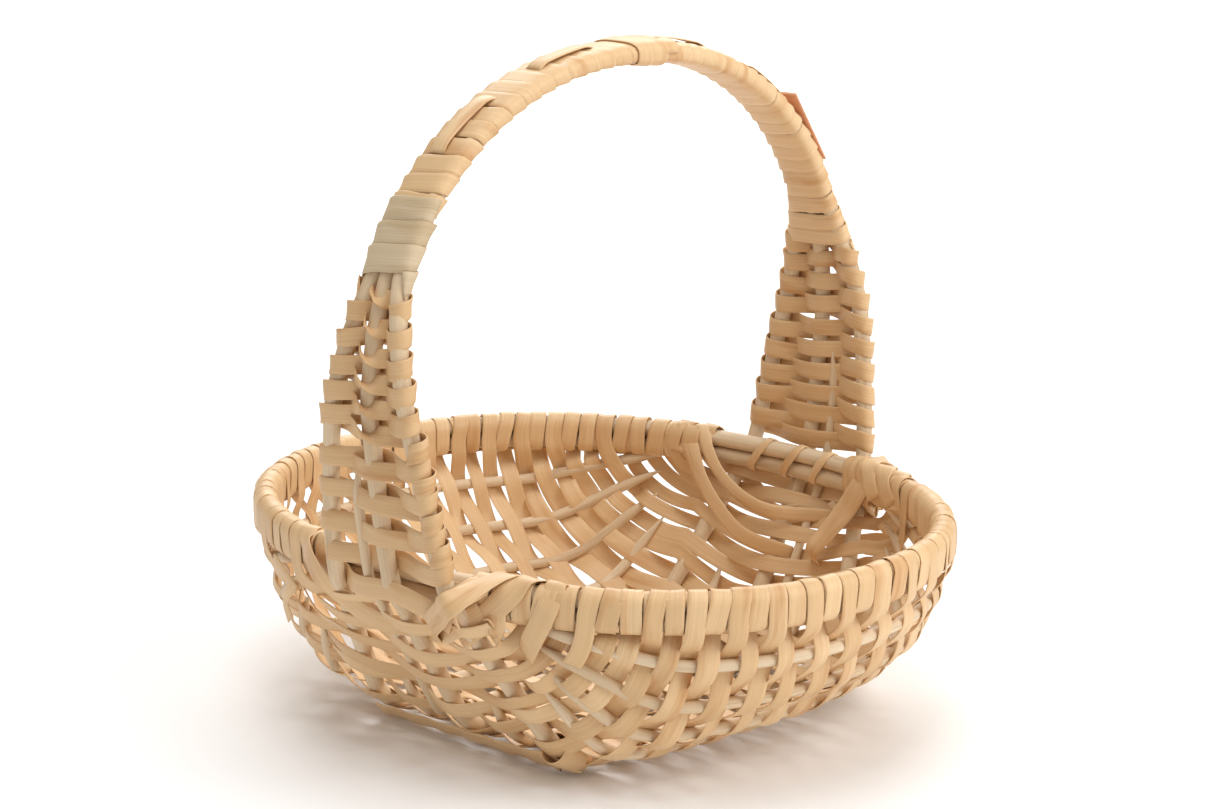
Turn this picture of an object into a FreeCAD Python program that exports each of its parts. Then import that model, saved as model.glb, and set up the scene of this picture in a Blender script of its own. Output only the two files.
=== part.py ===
"""A woven market basket: two rim rods, three handle hoops, peeled ribs and a splint weave.

Millimetres, +Z up. X runs along the long axis of the rim and Y along the plane of the handle.
The origin is the middle of the resting face. "Front" is +X, "near" is the -Y foot of the handle.
"""
import FreeCAD, Part
import math
import os

from FreeCAD import Vector

# Rim: two rods stacked on each other, bent to a slightly squared oval.
RIM_LENGTH = 424.0
RIM_WIDTH = 345.0
RIM_SQUARENESS = 2.23
RIM_HEIGHT = 113.0
RIM_ROD = 10.5
RIM_STACK_GAP = 0.4

# The handle and the floor are set a little to the front of the rim's middle.
HOOP_SHIFT = 12.0

# Bowl: a flat floor, sloping end walls and rounded side walls.
# RIM_SWEEP is how far round the rim, in degrees, the woven rows reach towards each foot.
FLOOR_HALF = 68.0
FLOOR_CORNER = 122.0
CORNER_RADIUS = 42.0
SKIN = 2.5
BELOW_RIM = 14.0
RIM_SWEEP = 75.8

# Gaps: a splint clears a rod, and the woven skin clears the hoops a little more.
CLEAR = 0.3
SKIN_CLEAR = 1.0

# Handle: three hoops that run over the top, down both feet and back under the floor.
# FAN gives how far the outer hoops stand from the middle one at heights above the rim.
HOOP_ROD = 10.0
HOOP_AT_RIM = 184.0
LEG_OUT = 8.0
LEG_UP = 45.0
ARCH_HALF = 198.0
ARCH_SPRING = 97.0
ARCH_RISE = 180.0
ARCH_SQUARENESS = 2.15
BUNDLE_PITCH = 10.3
FAN = ((-104.0, 73.0), (0.0, 45.0), (80.0, 34.0), (140.0, 19.0), (172.0, BUNDLE_PITCH))

# Ribs: thinner rods from foot to foot, sharpened at both ends. Their angles run from rim to floor.
RIB_ROD = 7.0
RIB_TIP = 16.0
RIB_ANGLES = (18.0, 34.0, 50.0, 66.0)
RIB_STARTS = (0.07, 0.09, 0.11, 0.13)
FLOOR_RIB_START = 0.16
FLOOR_RIB_OFFSET = 36.0
STAKE_ROD = 6.0
STAKE_UP = 70.0
STAKE_NEAR = (-4.0, -12.0)
STAKE_FAR = (25.0, 36.0)

# Splints: thin flat strips. A foot has a number of bands and the height from one to the next.
SPLINT = 12.0
SPLINT_THICK = 1.0
ROWS = 42
RIM_WRAP = 10.4
FOOT_BANDS_NEAR = (8, 19.5)
FOOT_BANDS_FAR = (8, 15.0)
FOOT_BAND = 11.0
FOOT_BAND_START = 14.5
FOOT_SLACK = 2.2
WRAP_THICK = 1.5
WRAP_FROM = 12
WRAP_TO = 163
OVERLAY_FROM = 50
OVERLAY_TO = 131
EAR_LENGTH = 40.0
EAR_SLANT = 50.0
EAR_OUT = 3.0
BINDER_WIDTH = 6.0
BINDER_PITCH = 24.0
EDGE_SPLINT_OUT = 7.2
EDGE_SPLINT_PAST = 2.0
EDGE_SPLINT_TILT = 40.0

# How finely curves are followed.
CORNER_STEPS = 4
ROD_STEP = 12.0
SIDE_TOP = 16
SIDE_START = 0.04
SIDE_STATIONS = 16

UP = Vector(0, 0, 1)
SIDEWAYS = Vector(1, 0, 0)
HOOP_RADIUS = HOOP_ROD / 2
FLOOR_HEIGHT = SKIN + SKIN_CLEAR + HOOP_RADIUS
BOWL_DEPTH = RIM_HEIGHT - FLOOR_HEIGHT
PARTS = "parts"


def save(name, shape):
    """Write one named piece."""
    shape.exportStep(os.path.join(PARTS, name + ".step"))


def squared_oval(half_x, half_y, squareness, angle):
    """The point of a superellipse at an angle, in radians."""
    cos, sin = math.cos(angle), math.sin(angle)
    x = math.copysign(half_x * abs(cos) ** (2 / squareness), cos)
    y = math.copysign(half_y * abs(sin) ** (2 / squareness), sin)
    return x, y


def rim_point(angle, z):
    """A point on the rim's centre line."""
    x, y = squared_oval(RIM_LENGTH / 2, RIM_WIDTH / 2, RIM_SQUARENESS, angle)
    return Vector(x, y, z)


def end_wall():
    """Centre line of a hoop from the rim to the floor as (y, z): a straight wall, a bend, the floor."""
    run = HOOP_AT_RIM - FLOOR_CORNER
    slope = math.atan2(BOWL_DEPTH, run)
    setback = CORNER_RADIUS * math.tan(slope / 2)
    centre_y = FLOOR_CORNER - setback
    centre_z = FLOOR_HEIGHT + CORNER_RADIUS
    turns = [slope * (1 - k / 4) for k in range(5)]
    bend = [
        (centre_y + CORNER_RADIUS * math.sin(turn), centre_z - CORNER_RADIUS * math.cos(turn))
        for turn in turns
    ]
    floor = [(centre_y / 2, FLOOR_HEIGHT), (0.0, FLOOR_HEIGHT)]
    top, low = (HOOP_AT_RIM, RIM_HEIGHT), bend[0]
    straight = [tuple(a + (b - a) * part for a, b in zip(top, low)) for part in (0, 0.2, 0.6)]
    return straight + bend + floor


def middle_line(share):
    """(y, z) on the middle hoop's centre line; share 0 is just under the near rim, 1 the far rim."""
    half = end_wall()
    line = [(-y, z) for y, z in half] + [(y, z) for y, z in reversed(half[:-1])]
    lengths = [math.dist(start, stop) for start, stop in zip(line, line[1:])]
    left = BELOW_RIM + share * (sum(lengths) - 2 * BELOW_RIM)
    for start, stop, length in zip(line, line[1:], lengths):
        if left <= length:
            return tuple(p + (q - p) * left / length for p, q in zip(start, stop))
        left -= length
    return line[-1]


def bowl_point(share, angle, side=1):
    """A point on a side wall: share runs from the near foot to the far one, angle from rim to floor."""
    turn = math.radians(angle)
    rim = rim_point(math.radians(RIM_SWEEP) * (2 * share - 1), RIM_HEIGHT)
    floor_y, floor_z = middle_line(share)
    edge = HOOP_SHIFT + side * FLOOR_HALF
    x = edge + (side * rim.x - edge) * math.cos(turn)
    y = rim.y + (floor_y - rim.y) * math.sin(turn) ** 2
    z = RIM_HEIGHT + (floor_z - RIM_HEIGHT) * math.sin(turn)
    return Vector(x, y, z)


def mirrored(shape):
    """The same piece on the other side of the handle plane."""
    return shape.mirror(Vector(0, 0, 0), Vector(1, 0, 0))


def solid_of(shape):
    """The single closed solid of a loft or fuse, facing outwards."""
    solid = shape.Solids[0] if shape.Solids else Part.makeSolid(shape.Shells[0])
    if solid.Volume < 0:
        solid.reverse()
    return solid


def outline(centre, across, up, half_across, half_up):
    """A closed outline with rounded ends and corners in the plane of across and up."""
    radius = min(half_across, half_up)
    points = []
    for corner, (sa, sb) in enumerate(((1, 1), (-1, 1), (-1, -1), (1, -1))):
        middle = centre + across * sa * (half_across - radius) + up * sb * (half_up - radius)
        for step in range(CORNER_STEPS):
            turn = math.pi / 2 * (corner + (step + 0.5) / CORNER_STEPS)
            points.append(middle + (across * math.cos(turn) + up * math.sin(turn)) * radius)
    return Part.makePolygon(points + points[:1])


def rod(points, diameter, side, closed=False):
    """A round rod that follows a smooth curve through the points; side is never along the curve."""
    curve = Part.BSplineCurve()
    curve.interpolate(Points=points, PeriodicFlag=closed)
    pieces = max(round(curve.length() / ROD_STEP), 2)
    outlines = []
    for k in range(pieces if closed else pieces + 1):
        at = curve.parameterAtDistance(curve.length() * k / pieces, curve.FirstParameter)
        along = curve.tangent(at)[0]
        across = (side - along * side.dot(along)).normalize()
        outlines.append(outline(curve.value(at), across, along.cross(across), diameter / 2, diameter / 2))
    return solid_of(Part.makeLoft(outlines, True, True, closed))


def sharpened(points, diameter, side, tip):
    """A rod whose two ends are cut to a point."""
    body = rod(points, diameter, side)
    for end, inner in ((points[0], points[1]), (points[-1], points[-2])):
        out = (end - inner).normalize()
        body = body.fuse(Part.makeCone(0.45 * diameter, diameter / 8, tip, end - out, out))
    return solid_of(body)


def sleeve(stations, thickness):
    """A band of splint round something: a loft through stations of (centre, across, up, sizes)."""
    outer = [outline(c, a, u, w + thickness, h + thickness) for c, a, u, w, h in stations]
    inner = [outline(c, a, u, w, h) for c, a, u, w, h in stations]
    return solid_of(Part.makeLoft(outer, True, True).cut(Part.makeLoft(inner, True, True)))


def hoop_reach(z):
    """Sideways distance of the two outer hoops from the middle one at a height."""
    above = z - RIM_HEIGHT
    for (low, wide), (high, narrow) in zip(FAN, FAN[1:]):
        if above <= high:
            part = max((above - low) / (high - low), 0)
            return wide + (narrow - wide) * part
    return BUNDLE_PITCH


def arch_point(angle):
    """(y, z) on the handle's arch, with the angle measured from the far side."""
    y, z = squared_oval(ARCH_HALF, ARCH_RISE, ARCH_SQUARENESS, math.radians(angle))
    return y, RIM_HEIGHT + ARCH_SPRING + z


def hoop_outline():
    """The closed outline of a hoop as (y, z), over the arch and back under the floor."""
    arch = [arch_point(angle) for angle in range(0, 181, 15)]
    down = [(HOOP_AT_RIM + LEG_OUT, RIM_HEIGHT + LEG_UP)] + end_wall()
    far = [(y, z) for y, z in reversed(down[:-1])]
    near = [(-y, z) for y, z in down]
    return arch + near + far


def hoop(side):
    """One of the three handle hoops; side is -1, 0 or 1."""
    points = [Vector(HOOP_SHIFT + side * hoop_reach(z), y, z) for y, z in hoop_outline()]
    return rod(points, HOOP_ROD, SIDEWAYS, closed=True)


def rim_rods():
    """The two stacked rods of the rim."""
    step = (RIM_ROD + RIM_STACK_GAP) / 2
    turns = [math.radians(angle) for angle in range(0, 360, 15)]
    for name, z in (("rim_rod_upper", RIM_HEIGHT + step), ("rim_rod_lower", RIM_HEIGHT - step)):
        save(name, rod([rim_point(turn, z) for turn in turns], RIM_ROD, UP, closed=True))


def ribs():
    """Four ribs in each side wall and two under the floor, between the hoops."""
    for number, (angle, start) in enumerate(zip(RIB_ANGLES, RIB_STARTS), 1):
        shares = [start + (1 - 2 * start) * k / 12 for k in range(13)]
        for side, name in ((1, "front"), (-1, "back")):
            points = [bowl_point(share, angle, side) for share in shares]
            save(f"rib_{name}_{number}", sharpened(points, RIB_ROD, SIDEWAYS, RIB_TIP))
    shares = [FLOOR_RIB_START + (1 - 2 * FLOOR_RIB_START) * k / 16 for k in range(17)]
    for side, name in ((1, "front"), (-1, "back")):
        points = [Vector(HOOP_SHIFT + side * FLOOR_RIB_OFFSET, *middle_line(share)) for share in shares]
        save(f"floor_rib_{name}", sharpened(points, RIB_ROD, SIDEWAYS, RIB_TIP))


def foot_stake(end, x_top, x_low):
    """A thin stake beside the middle hoop, from above the rim to the foot of the end wall."""
    leg = [(HOOP_AT_RIM + LEG_OUT, RIM_HEIGHT + up) for up in (STAKE_UP, LEG_UP)]
    wall = leg + end_wall()[:6]
    count = len(wall) - 1
    points = [
        Vector(x_top + (x_low - x_top) * k / count, end * y, z) for k, (y, z) in enumerate(wall)
    ]
    return rod(points, STAKE_ROD, SIDEWAYS)


def arch_station(angle, clearance):
    """Centre, axes and half sizes of the handle bundle at an angle of the arch."""
    y, z = arch_point(angle)
    y1, z1 = arch_point(angle + 0.5)
    y0, z0 = arch_point(angle - 0.5)
    along = Vector(0, y1 - y0, z1 - z0).normalize()
    half_up = HOOP_RADIUS + clearance
    return Vector(HOOP_SHIFT, y, z), SIDEWAYS, SIDEWAYS.cross(along), hoop_reach(z) + half_up, half_up


def handle_wrap():
    """The splint wound closely round the bundle of hoops, from shoulder to shoulder."""
    stations = [arch_station(angle, 2 * CLEAR) for angle in range(WRAP_FROM, WRAP_TO, 5)]
    return sleeve(stations, WRAP_THICK)


def handle_overlay():
    """The flat splint that runs along the top of the handle over the wrap."""
    lift = HOOP_RADIUS + 2 * CLEAR + WRAP_THICK + CLEAR
    outlines = []
    for angle in range(OVERLAY_FROM, OVERLAY_TO, 8):
        centre, across, up, _, _ = arch_station(angle, 0)
        out = up if up.z > 0 else up * -1
        low = centre + out * lift
        high = low + out * SPLINT_THICK
        side = across * (SPLINT / 2)
        outlines.append(Part.makePolygon([low - side, low + side, high + side, high - side, low - side]))
    return solid_of(Part.makeLoft(outlines, True, True))


def leg_y(z):
    """How far out the hoops are at a height between the rim and the shoulder."""
    spring = RIM_HEIGHT + ARCH_SPRING
    if z >= spring:
        left = max(1 - ((z - spring) / ARCH_RISE) ** ARCH_SQUARENESS, 0)
        return ARCH_HALF * left ** (1 / ARCH_SQUARENESS)
    low = (RIM_HEIGHT, HOOP_AT_RIM)
    middle = (RIM_HEIGHT + LEG_UP, HOOP_AT_RIM + LEG_OUT)
    high = (spring, ARCH_HALF)
    (z0, y0), (z1, y1) = (low, middle) if z < middle[0] else (middle, high)
    return y0 + (y1 - y0) * (z - z0) / (z1 - z0)


def foot_station(end, z):
    """Centre, axes and half sizes of a level band round the foot's hoops."""
    centre = Vector(HOOP_SHIFT, end * leg_y(z), z)
    half_up = HOOP_RADIUS + FOOT_SLACK
    return centre, SIDEWAYS, Vector(0, 1, 0), hoop_reach(z) + half_up, half_up


def foot_weave(end, count, pitch):
    """Bands woven round the fanned hoops of one foot, a gap between each and the next."""
    bands = []
    for number in range(count):
        low = RIM_HEIGHT + FOOT_BAND_START + number * pitch
        stations = [foot_station(end, z) for z in (low, low + FOOT_BAND)]
        bands.append(sleeve(stations, SPLINT_THICK))
    return Part.makeCompound(bands)


def rim_wraps():
    """Splints wrapped round both rim rods, one at the end of each woven row."""
    half_up = RIM_ROD + RIM_STACK_GAP / 2 + CLEAR
    half_across = RIM_ROD / 2 + CLEAR
    bands = []
    for row in range(ROWS):
        share = (row + 0.5) / ROWS
        turn = math.radians(RIM_SWEEP) * (2 * share - 1)
        along = (rim_point(turn + 0.01, 0) - rim_point(turn - 0.01, 0)).normalize()
        here = rim_point(turn, RIM_HEIGHT)
        ends = [here - along * (RIM_WRAP / 2), here + along * (RIM_WRAP / 2)]
        stations = [(point, along.cross(UP), UP, half_across, half_up) for point in ends]
        bands.append(sleeve(stations, SPLINT_THICK))
    return Part.makeCompound(bands)


def skin_point(share, angle, lift, side):
    """A point a set distance outside the bowl surface."""
    small = 0.5
    along = bowl_point(share + small / 100, angle, side) - bowl_point(share - small / 100, angle, side)
    down = bowl_point(share, angle + small, side) - bowl_point(share, angle - small, side)
    normal = along.cross(down).normalize()
    return bowl_point(share, angle, side) + normal * math.copysign(lift, normal.x * side)


def side_weave(side):
    """The woven skin of one side wall, just outside the ribs, from under the rim to the floor."""
    near = HOOP_RADIUS + SKIN_CLEAR
    faces = []
    for lift in (near, near + SKIN):
        rows = []
        for k in range(SIDE_STATIONS + 1):
            share = SIDE_START + (1 - 2 * SIDE_START) * k / SIDE_STATIONS
            rows.append([skin_point(share, angle, lift, side) for angle in range(SIDE_TOP, 89, 9)])
        surface = Part.BSplineSurface()
        surface.interpolate(rows)
        faces.append(surface.toShape())
    inner, outer = faces
    for edge in inner.Edges:
        partner = min(outer.Edges, key=lambda other: other.CenterOfMass.distanceToPoint(edge.CenterOfMass))
        faces.append(Part.makeRuledSurface(edge, partner))
    shell = Part.makeShell(faces)
    shell.sewShape()
    return solid_of(Part.makeSolid(Part.Shell(shell.Faces)))


def floor_weave():
    """The woven floor: a flat sheet that the basket rests on."""
    half_y = end_wall()[-3][0] - 1
    half_x = FLOOR_HALF - 1
    return Part.makeBox(2 * half_x, 2 * half_y, SKIN, Vector(HOOP_SHIFT - half_x, -half_y, 0))


def offset_line(line, distance):
    """The same outline moved outwards and down."""
    moved = []
    for k, (y, z) in enumerate(line):
        y1, z1 = line[min(k + 1, len(line) - 1)]
        y0, z0 = line[max(k - 1, 0)]
        length = math.hypot(y1 - y0, z1 - z0)
        moved.append((y - distance * (z1 - z0) / length, z + distance * (y1 - y0) / length))
    return moved


def end_weave(end):
    """The woven skin of an end wall, outside the hoops, from the floor to below the rim."""
    wall = end_wall()[1:-2]
    inside = offset_line(wall, HOOP_RADIUS + SKIN_CLEAR)
    outside = offset_line(wall, HOOP_RADIUS + SKIN_CLEAR + SKIN)
    half = FLOOR_HALF - 2
    corners = [Vector(HOOP_SHIFT - half, end * y, z) for y, z in inside + outside[::-1]]
    face = Part.Face(Part.makePolygon(corners + corners[:1]))
    return solid_of(face.extrude(SIDEWAYS * 2 * half))


def ear_lashing(end):
    """Two broad splints crossed over the outer hoops where they pass the rim."""
    centre = Vector(0, end * (HOOP_AT_RIM + HOOP_RADIUS + EAR_OUT), RIM_HEIGHT)
    strips = []
    for side in (-1, 1):
        sheet = Part.makeBox(EAR_LENGTH, SPLINT_THICK, SPLINT, Vector(-EAR_LENGTH / 2, 0, -SPLINT / 2))
        sheet.rotate(Vector(0, 0, 0), Vector(0, 1, 0), side * EAR_SLANT)
        if end < 0:
            sheet = sheet.mirror(Vector(0, 0, 0), Vector(0, 1, 0))
        sheet.translate(centre + Vector(HOOP_SHIFT + side * hoop_reach(RIM_HEIGHT), 0, 0))
        strips.append(sheet)
    return Part.makeCompound(strips)


def rim_binder():
    """Three narrow splints tied round the bare rim rods inside the far foot."""
    half_up = RIM_ROD + RIM_STACK_GAP / 2 + CLEAR
    half_across = RIM_ROD / 2 + CLEAR
    bands = []
    for x in (HOOP_SHIFT - BINDER_PITCH, HOOP_SHIFT, HOOP_SHIFT + BINDER_PITCH):
        y = RIM_WIDTH / 2 * (1 - abs(2 * x / RIM_LENGTH) ** RIM_SQUARENESS) ** (1 / RIM_SQUARENESS)
        ends = [Vector(x - BINDER_WIDTH / 2, y, RIM_HEIGHT), Vector(x + BINDER_WIDTH / 2, y, RIM_HEIGHT)]
        stations = [(point, Vector(0, 1, 0), UP, half_across, half_up) for point in ends]
        bands.append(sleeve(stations, SPLINT_THICK))
    return Part.makeCompound(bands)


def floor_edge_splint(end):
    """The splint that crosses under the hoops at the bend between an end wall and the floor."""
    reach = hoop_reach(FLOOR_HEIGHT) + HOOP_RADIUS + EDGE_SPLINT_PAST
    y, z = end_wall()[5]
    y = end * (y + EDGE_SPLINT_OUT)
    z = z - EDGE_SPLINT_OUT
    sheet = Part.makeBox(2 * reach, SPLINT, SPLINT_THICK, Vector(-reach, -SPLINT / 2, -SPLINT_THICK))
    sheet.rotate(Vector(0, 0, 0), SIDEWAYS, end * EDGE_SPLINT_TILT)
    sheet.translate(Vector(HOOP_SHIFT, y, z))
    return sheet


if __name__ == "__main__":
    os.makedirs(PARTS, exist_ok=True)
    rim_rods()
    save("handle_hoop_front", hoop(1))
    save("handle_hoop_middle", hoop(0))
    save("handle_hoop_back", hoop(-1))
    save("foot_stake_near", foot_stake(-1, *STAKE_NEAR))
    save("foot_stake_far", foot_stake(1, *STAKE_FAR))
    ribs()
    save("handle_wrap", handle_wrap())
    save("handle_overlay", handle_overlay())
    save("foot_weave_near", foot_weave(-1, *FOOT_BANDS_NEAR))
    save("foot_weave_far", foot_weave(1, *FOOT_BANDS_FAR))
    wraps = rim_wraps()
    save("rim_wraps_front", wraps)
    save("rim_wraps_back", mirrored(wraps))
    save("side_weave_front", side_weave(1))
    save("side_weave_back", side_weave(-1))
    save("end_weave_near", end_weave(-1))
    save("end_weave_far", end_weave(1))
    save("floor_weave", floor_weave())
    save("ear_lashing_near", ear_lashing(-1))
    save("ear_lashing_far", ear_lashing(1))
    save("rim_binders_far", rim_binder())
    save("floor_edge_splint_near", floor_edge_splint(-1))
    save("floor_edge_splint_far", floor_edge_splint(1))
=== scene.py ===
"""The woven market basket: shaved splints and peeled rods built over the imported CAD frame."""

import math
import random

import bpy
import numpy as np
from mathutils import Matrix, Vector


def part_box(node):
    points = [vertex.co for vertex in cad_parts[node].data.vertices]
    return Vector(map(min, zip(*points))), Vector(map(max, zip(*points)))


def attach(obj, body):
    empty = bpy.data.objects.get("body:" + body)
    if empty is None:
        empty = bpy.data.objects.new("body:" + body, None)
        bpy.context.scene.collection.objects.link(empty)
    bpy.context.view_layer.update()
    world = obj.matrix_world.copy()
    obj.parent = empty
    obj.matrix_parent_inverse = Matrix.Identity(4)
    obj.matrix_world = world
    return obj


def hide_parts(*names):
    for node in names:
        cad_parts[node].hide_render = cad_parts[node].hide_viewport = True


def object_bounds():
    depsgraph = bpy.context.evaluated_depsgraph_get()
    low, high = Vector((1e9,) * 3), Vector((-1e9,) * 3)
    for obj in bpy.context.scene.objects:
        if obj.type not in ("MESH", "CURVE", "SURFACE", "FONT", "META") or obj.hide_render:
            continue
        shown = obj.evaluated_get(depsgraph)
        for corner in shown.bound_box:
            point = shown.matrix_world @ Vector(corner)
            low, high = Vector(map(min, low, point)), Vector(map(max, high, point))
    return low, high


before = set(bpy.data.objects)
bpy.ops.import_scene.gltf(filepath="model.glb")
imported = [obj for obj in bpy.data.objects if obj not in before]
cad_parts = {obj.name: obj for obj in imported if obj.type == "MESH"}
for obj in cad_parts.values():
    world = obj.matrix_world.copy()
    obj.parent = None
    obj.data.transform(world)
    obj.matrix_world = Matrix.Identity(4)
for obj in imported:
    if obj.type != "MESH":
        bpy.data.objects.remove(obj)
cad_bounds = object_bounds()

MM = 0.001
UP = np.array([0.0, 0.0, 1.0])
SIDEWAYS = np.array([1.0, 0.0, 0.0])

# The two rods of the rim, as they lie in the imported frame.
_, rim_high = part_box("rim_rod_upper")
lower_rim_low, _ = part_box("rim_rod_lower")
RIM_ROD = 10.5 * MM
RIM_HALF_X = rim_high.x - RIM_ROD / 2
RIM_HALF_Y = rim_high.y - RIM_ROD / 2
RIM_Z = (rim_high.z + lower_rim_low.z) / 2
RIM_HALF_STACK = (rim_high.z - lower_rim_low.z) / 2
RIM_SQUARENESS = 2.23
RIM_SWEEP = math.radians(75.8)  # how far round from the middle of a side the rows reach

# The floor and the end walls, along the middle of the rods. The two meet in a bend of CORNER_RADIUS.
FLOOR_HALF = 68 * MM
FLOOR_Z = 8.5 * MM
FLOOR_CORNER = 122 * MM
CORNER_RADIUS = 42 * MM
BELOW_RIM = 14 * MM  # where the first row crosses the middle hoop, along it from the rim

# The handle hoops: their arch, and how far the outer two fan out from the middle one by height from the rim.
HOOP_R = 5 * MM
HOOP_SHIFT = 12 * MM  # the handle stands this far forward of the rim's middle
HOOP_AT_RIM = 184 * MM
LEG_RISE = 45 * MM
LEG_FLARE = 8 * MM
ARCH_HALF = 198 * MM
ARCH_SPRING = 97 * MM
ARCH_RISE = 180 * MM
ARCH_SQUARENESS = 2.15
FAN_HEIGHTS = np.array([-104, 0, 80, 140, 172]) * MM
FAN_WIDTHS = np.array([73, 45, 34, 19, 10.3]) * MM

# A peeled rod's knots, and the last stretch of a closed one, where it comes back to its first size.
KNOT_EVERY = 160 * MM
KNOT_LENGTH = 4 * MM
CLOSING_LENGTH = 60 * MM

# The ribs, by their angle below the rim and the share of the length where each one starts, and the stakes.
RIB_R = 3.5 * MM
RIB_ANGLES = (18, 34, 50, 66)
RIB_STARTS = (0.07, 0.09, 0.11, 0.13)
RIB_TIP = 22 * MM
FLOOR_RIB_X = 36 * MM
FLOOR_RIB_START = 0.16
STAKE_R = 3 * MM
STAKE_TIP = 18 * MM
STAKE_NEAR = (-4 * MM, -12 * MM)
STAKE_FAR = (25 * MM, 36 * MM)

# The splints.
ROWS = 42
ROW_WIDTHS = (9.0 * MM, 13.0 * MM)
ROW_REACH = RIM_ROD / 2 + 1.9 * MM  # how far a row stands off the middle of a rim rod
THICK = 0.8 * MM
STEP = 3 * MM
ROW_ANGLES = np.linspace(0, 90, 50)
FOOT_CLEAR = HOOP_R + THICK / 2 + 0.3 * MM  # how far the foot weave stands off the middle of a hoop

# Along the arch, in degrees from the far foot: the winding starts, is doubled, turns pale and ends.
WINDING_STOPS = (11.5, 86, 145, 158)
# Where the splint laid along the arch shows: first and last angle, and how far it lies to the side in mm.
OVERLAY_SPANS = ((45, 60, 4), (70, 86, 2), (95, 108, 0), (118, 133, -2))

# Each wood: light and deep grain, stain, roughness, streaks across the grain, and how tones differ by piece.
WOODS = {
    "splint_wood": ((0.86, 0.625, 0.36), (0.73, 0.465, 0.235), (0.78, 0.60, 0.43), 0.44, 2600, 7.3),
    "pale_splint_wood": ((0.78, 0.66, 0.47), (0.64, 0.51, 0.35), (0.80, 0.74, 0.62), 0.6, 1800, 3.3),
    "peeled_rod_wood": ((0.84, 0.68, 0.47), (0.70, 0.53, 0.35), (0.60, 0.46, 0.33), 0.6, 900, 5.1),
    # The reddish wood below is the same splint darkened and reddened as painted shade, for the strip seen in
    # shadow behind the shoulder.
    "painted_shade_splint_wood": ((0.80, 0.40, 0.22), (0.70, 0.32, 0.17), (0.80, 0.66, 0.52), 0.5, 2000, 2.1),
}

# The camera, round the middle of the rim: where it stands, its lens, and how far beside the middle it aims.
CAMERA_AZIMUTH = math.radians(42.27)
CAMERA_ELEVATION = math.radians(15.78)
CAMERA_DISTANCE = 1.928
CAMERA_LENS = 95.5
SENSOR_WIDTH = 36
AIM_RIGHT = 0.005
AIM_UP = 0.0648

# Each light: place, aim, size in metres and watts.
LIGHTS = {
    "key": ((1.8, 0.5, 1.3), (0, 0, 0.15), 1.7, 28),
    "top": ((0.1, -0.35, 2.4), (0, 0.05, 0), 1.3, 22),
    "backdrop": ((-2.6, 2.9, 2.6), (-2.8, 3.1, 0), 3.2, 210),
}
WORLD_COLOUR = (1, 0.975, 0.935, 1)
WORLD_STRENGTH = 0.43
FLOOR_COLOUR = (0.95, 0.95, 0.95, 1)
FLOOR_SIZE = 12
FLOOR_GAP = 1.5 * MM


# ---- curves of the frame ----

def lengths_along(points):
    """The length from the first point to each point."""
    return np.concatenate([[0], np.cumsum(np.linalg.norm(np.diff(points, axis=0), axis=1))])


def squared_oval(half_x, half_y, squareness, angle):
    """A point on an oval; a squareness of 2 is an ellipse and more is squarer."""
    cos, sin = math.cos(angle), math.sin(angle)
    x = math.copysign(half_x * abs(cos) ** (2 / squareness), cos)
    y = math.copysign(half_y * abs(sin) ** (2 / squareness), sin)
    return x, y


def rim_point(angle, z=0.0):
    """A point on the rim, z above the middle of its two rods."""
    x, y = squared_oval(RIM_HALF_X, RIM_HALF_Y, RIM_SQUARENESS, angle)
    return np.array([x, y, RIM_Z + z])


def wall_bend():
    """The slope of an end wall, and the centre of its bend into the floor as y and z."""
    slope = math.atan2(RIM_Z - FLOOR_Z, HOOP_AT_RIM - FLOOR_CORNER)
    return slope, FLOOR_CORNER - CORNER_RADIUS * math.tan(slope / 2), FLOOR_Z + CORNER_RADIUS


def end_wall():
    """Centre line of a hoop from the rim to the floor as (y, z)."""
    slope, centre_y, centre_z = wall_bend()
    turns = [slope * (1 - k / 6) for k in range(7)]
    bend = [(centre_y + CORNER_RADIUS * math.sin(t), centre_z - CORNER_RADIUS * math.cos(t)) for t in turns]
    top, low = (HOOP_AT_RIM, RIM_Z), bend[0]
    wall = [tuple(a + (b - a) * part for a, b in zip(top, low)) for part in (0, 0.2, 0.6)]
    return wall + bend + [(centre_y / 2, FLOOR_Z), (0.0, FLOOR_Z)]


def middle_line_points():
    """The middle hoop below the rim, from the near side to the far side, as (y, z)."""
    half = end_wall()
    line = [(-y, z) for y, z in half] + [(y, z) for y, z in reversed(half[:-1])]
    return np.array(line)


MIDDLE = middle_line_points()
MIDDLE_LENGTH = lengths_along(MIDDLE)


def middle_line(share):
    """(y, z) on the middle hoop; share 0 is just under the near rim and 1 the far rim."""
    at = BELOW_RIM + share * (MIDDLE_LENGTH[-1] - 2 * BELOW_RIM)
    return np.interp(at, MIDDLE_LENGTH, MIDDLE[:, 0]), np.interp(at, MIDDLE_LENGTH, MIDDLE[:, 1])


def bowl_point(share, angle, side=1, floor_share=None):
    """A point on a side wall: share runs from foot to foot, angle from the rim to the floor."""
    turn = math.radians(angle)
    rim = rim_point(RIM_SWEEP * (2 * share - 1))
    floor_y, floor_z = middle_line(share if floor_share is None else floor_share)
    edge = HOOP_SHIFT + side * FLOOR_HALF
    x = edge + (side * rim[0] - edge) * math.cos(turn)
    y = rim[1] + (floor_y - rim[1]) * math.sin(turn) ** 2
    z = RIM_Z + (floor_z - RIM_Z) * math.sin(turn)
    return np.array([x, y, z])


def hoop_reach(z):
    """How far an outer hoop stands from the middle one at a height."""
    return float(np.interp(z - RIM_Z, FAN_HEIGHTS, FAN_WIDTHS))


def arch_point(angle):
    """(y, z) on the arch, at an angle in degrees from the far foot."""
    y, z = squared_oval(ARCH_HALF, ARCH_RISE, ARCH_SQUARENESS, math.radians(angle))
    return y, RIM_Z + ARCH_SPRING + z


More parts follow.
